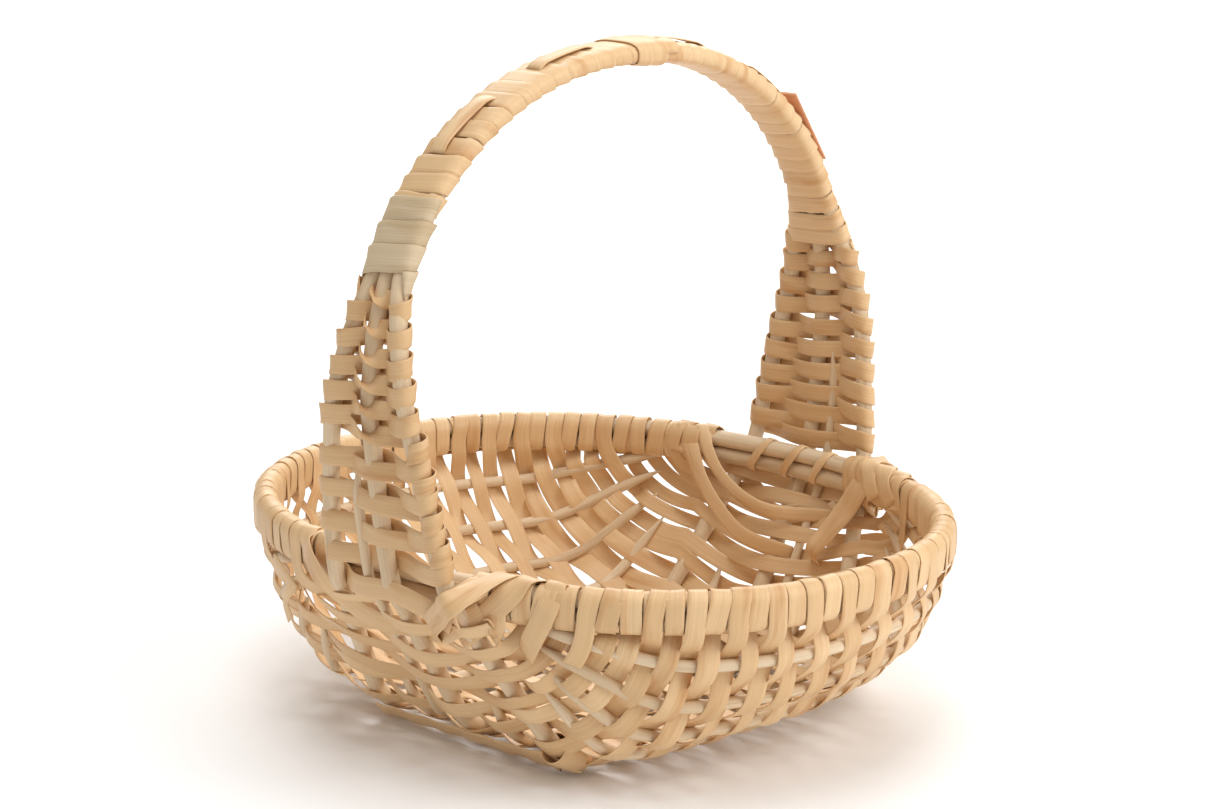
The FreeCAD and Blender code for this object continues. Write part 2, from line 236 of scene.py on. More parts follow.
def leg_y(z):
    """How far out the hoops are at a height between the rim and the shoulder."""
    spring = RIM_Z + ARCH_SPRING
    if z >= spring:
        share = max(1 - ((z - spring) / ARCH_RISE) ** ARCH_SQUARENESS, 0)
        return ARCH_HALF * share ** (1 / ARCH_SQUARENESS)
    heights = [RIM_Z, RIM_Z + LEG_RISE, spring]
    return float(np.interp(z, heights, [HOOP_AT_RIM, HOOP_AT_RIM + LEG_FLARE, ARCH_HALF]))


def smooth(points, step=STEP, closed=False):
    """A Catmull-Rom curve through the points, sampled at even steps."""
    points = np.array(points, float)
    if closed:
        padded = np.vstack([points[-1], points, points[0], points[1]])
    else:
        padded = np.vstack([2 * points[0] - points[1], points, 2 * points[-1] - points[-2]])
    dense = []
    for a, b, c, d in zip(padded, padded[1:], padded[2:], padded[3:]):
        for t in np.linspace(0, 1, 12, endpoint=False):
            dense.append(0.5 * (2 * b + (c - a) * t + (2 * a - 5 * b + 4 * c - d) * t ** 2
                                + (3 * b - a - 3 * c + d) * t ** 3))
    dense.append(padded[-2])
    return even(np.array(dense), step)


def even(points, step=STEP, *also):
    """Points, and any arrays that go with them, sampled again at even steps."""
    run = lengths_along(points)
    count = max(int(run[-1] / step), 2) + 1
    at = np.linspace(0, run[-1], count)
    out = [np.stack([np.interp(at, run, a[:, k]) for k in range(a.shape[1])], 1) for a in (points, *also)]
    return out[0] if not also else out


def unit(vectors):
    """The vectors at a length of one."""
    return vectors / np.maximum(np.linalg.norm(vectors, axis=-1, keepdims=True), 1e-12)


def from_ends(run, length):
    """0 at both ends, rising to 1 within a length of them."""
    return np.clip(np.minimum(run, run[-1] - run) / length, 0, 1)


def wobble(rng, run, size, period):
    """A slow random wander along a length."""
    knots = np.arange(run[0] - period, run[-1] + 2 * period, period)
    values = np.array([rng.uniform(-size, size) for _ in knots])
    at = (run - knots[0]) / period
    low = np.clip(at.astype(int), 0, len(knots) - 2)
    ease = (1 - np.cos(np.pi * np.clip(at - low, 0, 1))) / 2
    return values[low] * (1 - ease) + values[low + 1] * ease


# ---- meshes ----

def strip(points, normals, width, rng, thickness=THICK, cup=0.0, lap=0.0):
    """A flat splint along a path: rings of a thin rounded section, closed at both ends.

    cup bends the section across its width and lap tilts it so that a turn lies over its neighbour.
    """
    run = lengths_along(points)
    along = unit(np.gradient(points, axis=0))
    normals = unit(normals - along * (normals * along).sum(1, keepdims=True))
    across = np.cross(along, normals)
    half = width / 2 * (1 + wobble(rng, run, 0.07, 0.05))
    top = [(-1, 0.15), (-0.93, 0.5), (-0.5, 0.5), (0, 0.5), (0.5, 0.5), (0.93, 0.5), (1, 0.15)]
    section = top + [(-u, -h) for u, h in top]
    rings = []
    grain = []
    offset = rng.uniform(0, 20)
    for u, h in section:
        rise = h * thickness + cup * (1 - u * u) + lap * u
        rings.append(points + across * (u * half)[:, None] + normals * rise)
        grain.append(np.stack([run + offset, u * half, np.full(len(run), offset)], 1))
    verts = np.stack(rings, 1).reshape(-1, 3)
    grain = np.stack(grain, 1).reshape(-1, 3)
    return verts, tube_faces(len(points), len(section), False), grain


def tube_faces(rings, sides, closed):
    """The faces between rings of points, joined end to end if closed and capped if not."""
    faces = []
    for k in range(rings if closed else rings - 1):
        a, b = k * sides, ((k + 1) % rings) * sides
        for j in range(sides):
            i = (j + 1) % sides
            faces.append((a + j, b + j, b + i, a + i))
    if not closed:
        faces.append(tuple(range(sides)))
        faces.append(tuple(range((rings - 1) * sides, rings * sides))[::-1])
    return faces


def peeled_rod(points, radius, rng, side, closed=False, tip=0.0, sides=16):
    """A round rod with slight swellings and knots, its ends cut to a point if tip is given."""
    run = lengths_along(points)
    along = np.gradient(points, axis=0)
    if closed:
        along = np.roll(points, -1, 0) - np.roll(points, 1, 0)
    along = unit(along)
    a = unit(side - along * (along @ side)[:, None])
    b = np.cross(along, a)
    size = radius * (1 + wobble(rng, run, 0.05, 0.045))
    for at in [rng.uniform(0, run[-1]) for _ in range(int(run[-1] / KNOT_EVERY))]:
        size = size + radius * 0.1 * np.exp(-((run - at) / KNOT_LENGTH) ** 2)
    if closed:
        fade = np.clip((run[-1] - run) / CLOSING_LENGTH, 0, 1)
        size = size * fade + size[0] * (1 - fade)
    if tip:
        size = size * (0.15 + 0.85 * from_ends(run, tip))
    turns = np.arange(sides) * math.tau / sides
    verts = points[:, None] + size[:, None, None] * (a[:, None] * np.cos(turns)[None, :, None]
                                                     + b[:, None] * np.sin(turns)[None, :, None])
    offset = rng.uniform(0, 20)
    arc = np.broadcast_to(turns * radius, (len(points), sides))
    length = np.broadcast_to(run[:, None] + offset, arc.shape)
    grain = np.stack([length, arc, np.full(arc.shape, offset)], -1)
    return verts.reshape(-1, 3), tube_faces(len(points), sides, closed), grain.reshape(-1, 3)


def add(name, shapes, material, replaced=()):
    """One object made of several strips or rods, standing for the CAD nodes it replaces."""
    verts, faces, grain = [], [], []
    start = 0
    for points, quads, grains in shapes:
        verts.append(points)
        grain.append(grains)
        faces += [tuple(start + k for k in face) for face in quads]
        start += len(points)
    verts, grain = np.vstack(verts), np.vstack(grain)
    mesh = bpy.data.meshes.new(name)
    mesh.from_pydata(verts.tolist(), [], faces)
    layer = mesh.attributes.new("grain", "FLOAT_VECTOR", "POINT")
    layer.data.foreach_set("vector", grain.astype(np.float32).ravel())
    mesh.polygons.foreach_set("use_smooth", [len(face) == 4 for face in faces])
    mesh.materials.append(material)
    obj = bpy.data.objects.new(name, mesh)
    bpy.context.scene.collection.objects.link(obj)
    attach(obj, "root")
    if replaced:
        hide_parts(*replaced)
    return obj


# ---- materials ----

def wood(name, light, deep, stained, rough, streaks, piece_spread):
    """Wood whose fine grain runs along each piece and whose tone differs from piece to piece."""
    material = bpy.data.materials.new(name)
    material.use_nodes = True
    nodes, links = material.node_tree.nodes, material.node_tree.links
    shader = nodes["Principled BSDF"]
    grain = nodes.new("ShaderNodeAttribute")
    grain.attribute_name = "grain"

    def noise(scale, detail):
        """Noise along, across and between the pieces."""
        stretch = nodes.new("ShaderNodeMapping")
        stretch.inputs["Scale"].default_value = scale
        links.new(grain.outputs["Vector"], stretch.inputs["Vector"])
        texture = nodes.new("ShaderNodeTexNoise")
        texture.inputs["Scale"].default_value = 1.0
        texture.inputs["Detail"].default_value = detail
        links.new(stretch.outputs["Vector"], texture.inputs["Vector"])
        return texture.outputs["Fac"]

    def ramp(factor, low, high, first, last):
        """A colour between two others, chosen by a factor."""
        node = nodes.new("ShaderNodeValToRGB")
        node.color_ramp.elements[0].position = low
        node.color_ramp.elements[1].position = high
        node.color_ramp.elements[0].color = (*first, 1)
        node.color_ramp.elements[1].color = (*last, 1)
        links.new(factor, node.inputs["Fac"])
        return node.outputs["Color"]

    def mix(kind, amount, first, second):
        """Two colours blended."""
        node = nodes.new("ShaderNodeMix")
        node.data_type = "RGBA"
        node.blend_type = kind
        node.inputs["Factor"].default_value = amount
        links.new(first, node.inputs["A"])
        links.new(second, node.inputs["B"])
        return node.outputs["Result"]

    # Each scale says how fast the noise changes along a piece, across it and from piece to piece.
    fine = noise((9, streaks, 3.1), 6)
    blotch = noise((14, 90, 1.7), 3)
    piece = noise((0.02, 0.02, piece_spread), 1)
    base = ramp(fine, 0.25, 0.75, deep, light)
    tone = ramp(piece, 0.36, 0.62, (0.84, 0.77, 0.68), (1.0, 1.0, 1.0))
    stain = ramp(blotch, 0.24, 0.46, stained, (1.0, 1.0, 1.0))
    colour = mix("MULTIPLY", 1.0, mix("MULTIPLY", 0.75, base, tone), stain)
    links.new(colour, shader.inputs["Base Color"])
    shader.inputs["Roughness"].default_value = rough
    shader.inputs["Specular IOR Level"].default_value = 0.5
    bump = nodes.new("ShaderNodeBump")
    bump.inputs["Strength"].default_value = 0.35
    bump.inputs["Distance"].default_value = 0.0004
    links.new(fine, bump.inputs["Height"])
    links.new(bump.outputs["Normal"], shader.inputs["Normal"])
    return material


# ---- rods ----

def rim_rods(material):
    """The two closed rods of the rim."""
    turns = np.linspace(0, math.tau, 240, endpoint=False)
    half = RIM_HALF_STACK - RIM_ROD / 2
    for seed, (name, z) in enumerate((("rim_rod_upper", half), ("rim_rod_lower", -half))):
        points = np.array([rim_point(turn, z) for turn in turns])
        rod = peeled_rod(points, RIM_ROD / 2, random.Random(seed), UP, closed=True)
        add("wood_" + name, [rod], material, [name])


def hoops(material):
    """The three closed hoops: over the arch, down both feet and under the floor."""
    arch = [arch_point(angle) for angle in range(0, 181, 6)]
    down = [(HOOP_AT_RIM + LEG_FLARE, RIM_Z + LEG_RISE)] + end_wall()
    outline = arch + [(-y, z) for y, z in down] + [(y, z) for y, z in reversed(down[:-1])]
    for side, name in ((1, "front"), (0, "middle"), (-1, "back")):
        points = smooth([(HOOP_SHIFT + side * hoop_reach(z), y, z) for y, z in outline], closed=True)[:-1]
        rod = peeled_rod(points, HOOP_R, random.Random(10 + side), SIDEWAYS, closed=True)
        add(f"wood_handle_hoop_{name}", [rod], material, [f"handle_hoop_{name}"])


def ribs(material):
    """The ribs of both side walls and of the floor, sharpened at both ends."""
    for side, name in ((1, "front"), (-1, "back")):
        for number, (angle, start) in enumerate(zip(RIB_ANGLES, RIB_STARTS), 1):
            shares = np.linspace(start - 0.02, 1.02 - start, 40)
            points = smooth([bowl_point(share, angle, side) for share in shares])
            rod = peeled_rod(points, RIB_R, random.Random(20 + number * side), SIDEWAYS, tip=RIB_TIP)
            add(f"wood_rib_{name}_{number}", [rod], material, [f"rib_{name}_{number}"])
        shares = np.linspace(FLOOR_RIB_START - 0.02, 1.02 - FLOOR_RIB_START, 40)
        points = smooth([(HOOP_SHIFT + side * FLOOR_RIB_X, *middle_line(share)) for share in shares])
        rod = peeled_rod(points, RIB_R, random.Random(40 + side), SIDEWAYS, tip=RIB_TIP)
        add(f"wood_floor_rib_{name}", [rod], material, [f"floor_rib_{name}"])


def stakes(material):
    """One thin stake in each foot, from above the rim down the end wall."""
    leg_y_low = HOOP_AT_RIM + LEG_FLARE
    wall = [(leg_y_low, RIM_Z + 70 * MM), (leg_y_low, RIM_Z + LEG_RISE)] + end_wall()[:8]
    shares = np.linspace(0, 1, len(wall))
    for end, name, (start, stop) in ((-1, "near", STAKE_NEAR), (1, "far", STAKE_FAR)):
        path = [(start + (stop - start) * share, end * y, z) for share, (y, z) in zip(shares, wall)]
        rod = peeled_rod(smooth(path), STAKE_R, random.Random(50 + end), SIDEWAYS, tip=STAKE_TIP)
        add(f"wood_foot_stake_{name}", [rod], material, [f"foot_stake_{name}"])


# ---- woven rows ----

def sag(share):
    """How much further from its foot a row near the ends hangs in the middle, as a share."""
    from_end = min(share, 1 - share)
    return math.copysign(0.035 * math.sin(math.pi * min(from_end / 0.3, 1)), 0.5 - share)


def row_path(share):
    """The middle of one row from the front rim round the floor to the back rim."""
    edge = share - sag(share)
    front = [bowl_point(share, angle, 1, edge) for angle in ROW_ANGLES]
    back = [bowl_point(share, angle, -1, edge) for angle in reversed(ROW_ANGLES)]
    floor = []
    for part in np.linspace(1, -1, 40)[1:-1]:
        y, z = middle_line(edge + sag(share) * (1 - part ** 2))
        floor.append(np.array([HOOP_SHIFT + part * FLOOR_HALF, y, z]))
    return np.array(front + floor + back)


def crossings(share, path, run):
    """The rods a row passes, as (length along the row, rod radius, place), and the outermost place.

    Places are counted from the middle hoop, forwards on one side of it and backwards on the other.
    """
    height = middle_line(share)[1]
    side_rods = [(HOOP_R, hoop_reach(height))]
    if FLOOR_RIB_START < share < 1 - FLOOR_RIB_START:
        side_rods.insert(0, (RIB_R, FLOOR_RIB_X))
    found = [(float(np.interp(-HOOP_SHIFT, -path[:, 0], run)), HOOP_R, 0)]
    for place, (radius, offset) in enumerate(side_rods, 1):
        for side in (1, -1):
            at = float(np.interp(-(HOOP_SHIFT + side * offset), -path[:, 0], run))
            found.append((at, radius, side * place))
    place = len(side_rods)
    for angle, start in reversed(list(zip(RIB_ANGLES, RIB_STARTS))):
        if start < share < 1 - start:
            place += 1
            at = float(np.interp(angle, ROW_ANGLES, run[:len(ROW_ANGLES)]))
            found += [(at, RIB_R, place), (run[-1] - at, RIB_R, -place)]
    return sorted(found), place


def rim_turn(edge, beside, outward, sign, lean):
    """How a row goes over the rim: from under the rods up one side, over the top and down its own side."""
    straight = RIM_HALF_STACK - RIM_ROD / 2
    turns = np.radians([-95, -125, -155, -180, -180, -180, -150, -120, -90, -60, -30, 0])
    heights = np.array([-1, -1, -1, -1, 0, 1, 1, 1, 1, 1, 1, 1]) * straight
    points, normals = [], []
    for turn, height in zip(turns, heights):
        out = sign * math.cos(turn)
        up = abs(math.sin(turn)) * (1 if height > 0 else -1)
        rise = height + ROW_REACH * up
        slide = lean * rise / RIM_HALF_STACK
        points.append(edge + outward * ROW_REACH * out + UP * rise + beside * slide)
        normals.append(sign * (outward * out + UP * up))
    return np.array(points), np.array(normals)


def row_lift(run, rods, rim_lift, middle_side):
    """How far a row stands out from the wall's middle along its length, eased from one rod to the next."""
    hold = RIM_HALF_STACK - 1 * MM
    clear = hold + 6 * MM
    places, lifts = [0.0, hold], [rim_lift, rim_lift]
    for at, radius, place in rods:
        if clear < at < run[-1] - clear:
            places.append(at)
            lifts.append(middle_side * (-1) ** place * (radius + THICK / 2 + 0.2 * MM))
    places = np.array(places + [run[-1] - hold, run[-1]])
    lifts = np.array(lifts + [rim_lift, rim_lift])
    last = np.clip(np.searchsorted(places, run, side="right") - 1, 0, len(places) - 2)
    part = np.clip((run - places[last]) / (places[last + 1] - places[last]), 0, 1)
    ease = (1 - np.cos(np.pi * part)) / 2
    return lifts[last] * (1 - ease) + lifts[last + 1] * ease


def row_width(run, spacing, rng):
    """The width of a row along its length: it fills its share of the wall, less so towards its second end."""
    part = run / run[-1]
    between = np.interp(part, np.linspace(0, 1, len(spacing)), spacing)
    snug = np.interp(part, [0, 0.1, 0.9, 1], [0.99, 1.0, 0.92, 0.82])
    return np.clip(between * snug, *ROW_WIDTHS) * rng.uniform(0.96, 1.04)


def woven_row(number, rng):
    """One splint from rim to rim, over one rod and under the next, the other way round to its neighbours."""
    share = (number + 0.5) / ROWS
    path = row_path(share)
    beside = row_path(share + 0.5 / ROWS) - row_path(share - 0.5 / ROWS)
    spacing = np.linalg.norm(beside, axis=1)
    beside = unit(beside)
    run = lengths_along(path)
    normals = unit(np.cross(beside, np.gradient(path, axis=0)))
    outward = path - UP * RIM_Z
    normals *= np.sign((normals * outward).sum(1, keepdims=True))
    rods, outermost = crossings(share, path, run)
    middle_side = 1 if number % 2 else -1
    rim_side = middle_side * (-1) ** (outermost + 1)
    lift = row_lift(run, rods, rim_side * ROW_REACH, middle_side)
    drift = wobble(rng, run, 1.6 * MM, 0.05) * from_ends(run, 20 * MM)
    points = path + normals * lift[:, None] + beside * drift[:, None]
    first = rim_turn(path[0], beside[0], normals[0], rim_side, rng.uniform(0, 3.5) * MM)
    last = rim_turn(path[-1], beside[-1], normals[-1], rim_side, rng.uniform(0, 3.5) * MM)
    points = np.vstack([first[0], points[1:-1], last[0][::-1]])
    normals = np.vstack([first[1], normals[1:-1], last[1][::-1]])
    points, normals = even(points, STEP, normals)
    run = lengths_along(points)
    along = unit(np.gradient(points, axis=0))
    tilt = wobble(rng, run, 0.2, 0.05) * from_ends(run, 60 * MM)
    normals = unit(normals + np.cross(along, normals) * tilt[:, None])
    width = row_width(run, spacing, rng)
    return strip(points, normals, width, rng, cup=rng.uniform(-0.2, 0.5) * MM)


def weave(material):
    """All the rows of the bowl."""
    rng = random.Random(7)
    skins = ["side_weave_front", "side_weave_back", "end_weave_near", "end_weave_far", "floor_weave"]
    for number in range(ROWS):
        add(f"splint_row_{number + 1:02d}", [woven_row(number, rng)], material, skins)


def stadium_loop(half_across, half_up, count=44):
    """A closed outline round two stacked rods: (across, up) points and their outward normals."""
    straight = half_up - half_across
    run = np.linspace(0, 4 * straight + math.tau * half_across, count, endpoint=True)
    points, normals = [], []
    for s in run:
        arc = math.pi * half_across
        if s < 2 * straight:
            points.append((half_across, -straight + s))
            normals.append((1, 0))
        elif s < 2 * straight + arc:
            t = (s - 2 * straight) / half_across
            points.append((half_across * math.cos(t), straight + half_across * math.sin(t)))
            normals.append((math.cos(t), math.sin(t)))
        elif s < 4 * straight + arc:
            points.append((-half_across, straight - (s - 2 * straight - arc)))
            normals.append((-1, 0))
        else:
            t = (s - 4 * straight - arc) / half_across
            points.append((-half_across * math.cos(t), -straight - half_across * math.sin(t)))
            normals.append((-math.cos(t), -math.sin(t)))
    return np.array(points), np.array(normals)


def rim_wrap(share, side, rng, pull, width):
    """One turn of splint round both rim rods; pull moves its inner face along the rim."""
    turn = RIM_SWEEP * (2 * share - 1)
    half_across = RIM_ROD / 2 + 0.8 * MM
    half_up = RIM_HALF_STACK + 0.8 * MM
    per_radian = RIM_HALF_X * 0.92
    loop, facing = stadium_loop(half_across, half_up)
    lean = rng.uniform(-1.2, 1.2) * MM
    points, normals = [], []
    for (a, u), (na, nu) in zip(loop, facing):
        inner = (1 - a / half_across) / 2
        slide = pull * inner + lean * u / half_up
        here = turn + slide / per_radian
        along = unit(rim_point(here + 0.01) - rim_point(here - 0.01))
        out = np.cross(along, UP)
        points.append(rim_point(here) + out * a + UP * u)
        normals.append(out * na + UP * nu)
    flip = np.array([side, 1, 1])
    points, normals = even(np.array(points) * flip, 2 * MM, np.array(normals) * flip)
    return strip(points, normals, width * rng.uniform(0.94, 1.04), rng)


def rim_wraps(material):
    """A turn round the rim for each row, on both sides."""
    for side, name, width in ((1, "front", 10.6 * MM), (-1, "back", 8.8 * MM)):
        rng = random.Random(60 + side)
        turns = []
        for row in range(ROWS):
            pull = (2.0 if row % 2 else -2.0) * MM
            turns.append(rim_wrap((row + 0.5) / ROWS, side, rng, pull, width))
        add(f"splint_rim_wraps_{name}", turns, material, [f"rim_wraps_{name}"])


# ---- handle ----

def arch_frame(angle):
    """The middle hoop's centre at an angle along the arch, with the ways along it and outwards."""
    y, z = arch_point(angle)
    y1, z1 = arch_point(angle + 0.3)
    y0, z0 = arch_point(angle - 0.3)
    along = unit(np.array([0, y1 - y0, z1 - z0]))
    out = np.cross(along, SIDEWAYS)
    if out[1] * y + out[2] * (z - RIM_Z - ARCH_SPRING) < 0:
        out = -out
    return np.array([HOOP_SHIFT, y, z]), along, out


def arch_table():
    """Angles along the arch and the length from the first one to each."""
    angles = np.linspace(4, 176, 700)
    points = np.array([arch_frame(angle)[0] for angle in angles])
    return angles, lengths_along(points)


ARCH_ANGLES, ARCH_RUN = arch_table()


def wound(first, last, pitch, width, rng, spread=0.0):
    """A splint wound round the handle between two lengths along the arch, each turn lapping the last."""
    around = 44
    roundness = 0.62
    high = HOOP_R + 0.8 * MM + spread
    points, normals, along = [], [], []
    for k in range(int((last - first) / pitch * around) + 1):
        phase = math.tau * k / around
        angle = float(np.interp(first + pitch * k / around, ARCH_RUN, ARCH_ANGLES))
        centre, forward, out = arch_frame(angle)
        wide = hoop_reach(centre[2]) + HOOP_R + 0.7 * MM + spread
        cos, sin = math.cos(phase), math.sin(phase)
        x = math.copysign(wide * abs(cos) ** roundness, cos)
        u = math.copysign(high * abs(sin) ** roundness, sin)
        points.append(centre + SIDEWAYS * x + out * u)
        nx = math.copysign(abs(cos) ** (2 - roundness) / wide, cos)
        nu = math.copysign(abs(sin) ** (2 - roundness) / high, sin)
        normals.append(unit(SIDEWAYS * nx + out * nu))
        along.append(forward)
    points, along = np.array(points), np.array(along)
    slip = wobble(rng, lengths_along(points), 1.5 * MM, 0.045)
    points = points + along * slip[:, None]
    points, normals = even(points, 2.5 * MM, np.array(normals))
    return strip(points, normals, width, rng, lap=0.65 * MM, thickness=0.9 * MM)


def handle_wrap(splint, pale):
    """Narrow turns up to the top, a few doubled there, broader ones down the near side, then pale ones."""
    rng = random.Random(81)
    first, top, pale_from, last = [float(np.interp(stop, ARCH_ANGLES, ARCH_RUN)) for stop in WINDING_STOPS]
    narrow = wound(first, top, 10.8 * MM, 10.3 * MM, rng)
    broad = wound(top, pale_from, 13.0 * MM, 12.5 * MM, rng)
    doubled = wound(top - 14 * MM, top + 15 * MM, 10.5 * MM, 11.5 * MM, rng, spread=1.8 * MM)
    add("splint_handle_wrap", [narrow, broad, doubled], splint, ["handle_wrap"])
    rough = wound(pale_from - 4 * MM, last, 14.5 * MM, 15.6 * MM, rng, spread=0.9 * MM)
    add("splint_handle_wrap_pale", [rough], pale)


def overlay(material):
    """The splint along the top of the handle, showing over a few turns and tucked under the next."""
    rng = random.Random(90)
    shapes = []
    samples = 30
    for first, last, side in OVERLAY_SPANS:
        points, normals = [], []
        for k, angle in enumerate(np.linspace(first, last, samples)):
            centre, _, out = arch_frame(angle)
            show = min(k, samples - 1 - k, 4) / 4
            points.append(centre + out * (HOOP_R + (0.6 + 2.4 * show) * MM) + SIDEWAYS * side * MM)
            normals.append(out)
        points, normals = even(np.array(points), STEP, np.array(normals))
        shapes.append(strip(points, normals, 11 * MM, rng, cup=0.5 * MM))
    add("splint_handle_overlay", shapes, material, ["handle_overlay"])


def foot_pass(end, z, reach, direction, flip, rise, sway, fold):
    """One pass across a foot: outside, inside and outside the hoops going, the other way round coming back.

    flip says which face of the splint is out, and a folded pass turns over halfway.
    """
    points, normals = [], []
    for t in np.linspace(0, 1, 33):
        lift = direction * FOOT_CLEAR * math.cos(math.tau * t)
        here = z + rise * t + sway * math.sin(math.pi * t)
        spin = math.pi / (1 + math.exp(-(t - 0.46) * 20)) if fold else 0
        x = HOOP_SHIFT + direction * reach * (2 * t - 1)
        points.append((x, end * (leg_y(here) + lift), here))
        facing = flip * direction
        normals.append((0, end * facing * math.cos(spin), facing * math.sin(spin)))
    return points, normals


def foot_turn(end, z, reach, direction, flip, climb, turns):
    """The half turns of a splint round an outer hoop between two passes."""
    points, normals = [], []
    count = 10 * turns
    for k in range(1, count):
        turn = math.pi * turns * k / count
        side, out = math.sin(turn), math.cos(turn) * direction
        here = z + climb * k / count
        x = HOOP_SHIFT + direction * (reach + FOOT_CLEAR * side)
        points.append((x, end * (leg_y(here) + FOOT_CLEAR * out), here))
        normals.append((flip * direction * side, flip * end * out, 0))
    return points, normals


def foot_weave(end, name, material, top, change, low_pitch, high_pitch, doubled):
    """One long splint woven to and fro round the fanned hoops of a foot; two passes climb two pitches.

    Below the change a doubled weave is wound once more round the front hoop at each return. Above it the
    returning passes are folded over where they cross the middle hoop.
    """
    rng = random.Random(100 + end)
    z = RIM_Z + 13 * MM
    points, normals, flip, direction = [], [], 1, 1
    while z < RIM_Z + top:
        reach = hoop_reach(z)
        low = z < RIM_Z + change
        pitch = low_pitch if low else high_pitch
        fold = direction < 0 and not low
        again = doubled and low and direction > 0
        rise = 0.15 * pitch if doubled and low else 0.3 * pitch
        climb = (1.5 if again else 0.2 if doubled and low else 0.7) * pitch
        sway = rng.uniform(-1.4, 1.4) * MM
        over = foot_pass(end, z, reach, direction, flip, rise, sway, fold)
        flip = -flip if fold else flip
        z += rise
        back = foot_turn(end, z, reach, direction, flip, climb, 3 if again else 1)
        z += climb
        points += over[0] + back[0]
        normals += over[1] + back[1]
        direction = -direction
    points, normals = even(np.array(points), 2.5 * MM, np.array(normals, float))
    run = lengths_along(points)
    points[:, 2] += wobble(rng, run, 0.9 * MM, 0.04)
    normals = unit(normals + UP * wobble(rng, run, 0.16, 0.05)[:, None])
    width = np.interp(points[:, 2], [RIM_Z, RIM_Z + top], [11.6 * MM, 10.4 * MM])
    splint = strip(points, normals, width, rng, cup=0.3 * MM)
    add(f"splint_foot_weave_{name}", [splint], material, [f"foot_weave_{name}"])


# ---- the crossed splints where the feet meet the rim ----

# Each route: its stops as (place, x, height from the rim) in mm, its width in mm, and how much of it is left
# at the end. These go over the rim beside both feet and on across or between the hoops.
EAR_ROUTES = [
    ([("rim_in", 93, -6), ("rim_in", 87, 5), ("rim_top", 79, 14), ("far_over", 69, 3), ("far_over", 57, -7),
      ("far_over", 44, -17), ("over", 36, -26)], 14.5, 1.0),
    ([("rim_in", 74, -4), ("rim_top", 70, 13), ("rim_out", 69, 9), ("over", 64, 0), ("over", 58, -12),
      ("under", 50, -24)], 12.5, 1.0),
    ([("rim_in", 111, -6), ("rim_in", 103, 5), ("rim_top", 94, 14), ("rim_out", 85, 5), ("rim_out", 75, -6),
      ("rim_out", 65, -16), ("over", 56, -25)], 14.5, 1.0),
    ([("rim_in", 113, -8), ("rim_top", 110, 14), ("rim_out", 107, 2), ("rim_out", 103, -8),
      ("rim_out", 98, -19), ("under", 92, -30)], 13.5, 1.0),
    ([("rim_in", -58, -4), ("rim_top", -55, 13), ("rim_out", -52, 4), ("rim_out", -45, -2),
      ("under", -34, -4), ("over", -13, -5), ("over", 17, -3), ("over", 40, -9), ("over", 56, -15)],
     12.5, 1.0),
    ([("rim_in", -74, -6), ("rim_top", -72, 13), ("rim_out", -66, 5), ("over", -46, -6), ("over", -34, -18),
      ("over", -12, -29), ("under", 12, -32), ("over", 40, -25), ("over", 56, -18), ("rim_out", 70, -6)],
     12.5, 1.0),
]
# These hang inside the far foot, from the rim on either side of it.
FAR_ROUTES = [
    ([("rim_out", 88, -4), ("rim_top", 85, 13), ("rim_in", 77, -3), ("inside", 66, -18), ("inside", 58, -33),
      ("inside", 52, -44), ("tucked", 46, -55)], 19, 0.45),
    ([("rim_out", -62, -4), ("rim_top", -60, 13), ("rim_in", -53, 1), ("inside", -38, -14),
      ("inside", -14, -24), ("inside", 12, -28), ("tucked", 40, -29), ("tucked", 62, -26)], 9, 1.0),
    ([("rim_out", -74, -4), ("rim_top", -72, 13), ("rim_in", -65, -2), ("inside", -50, -20),
      ("inside", -28, -34), ("inside", -2, -45), ("tucked", 26, -54)], 13, 0.8),
]
# One turn of a binder round the bare rods, with x counted from its middle.
BINDER_STOPS = [("rod_out", 6, -7), ("rod_out", 7, 4), ("rim_top", 7, 11.4), ("rod_in", 3, 6),
                ("rod_in", -5, -6), ("rim_low", -7, -11.4), ("rod_out", -5, -7)]
# A cut end and a loop that stand out beside the near foot.
LOOSE_END = [("rim_out", -78, -26), ("rim_out", -92, -20), ("rim_out", -106, -14)]
LOOSE_LOOP = [("rim_low", -70, -13), ("rim_out", -84, -26), ("rim_out", -92, -36), ("rim_out", -86, -46)]


def wall_y(z):
    """How far out the hoops' centre line is, above or below the rim."""
    if z > RIM_Z:
        return leg_y(z)
    wall = np.array(end_wall())[::-1]
    return float(np.interp(z, wall[:, 1], wall[:, 0]))


def rim_y(x):
    """How far out the rim is at a distance along it."""
    return RIM_HALF_Y * max(1 - abs(x / RIM_HALF_X) ** RIM_SQUARENESS, 0) ** (1 / RIM_SQUARENESS)


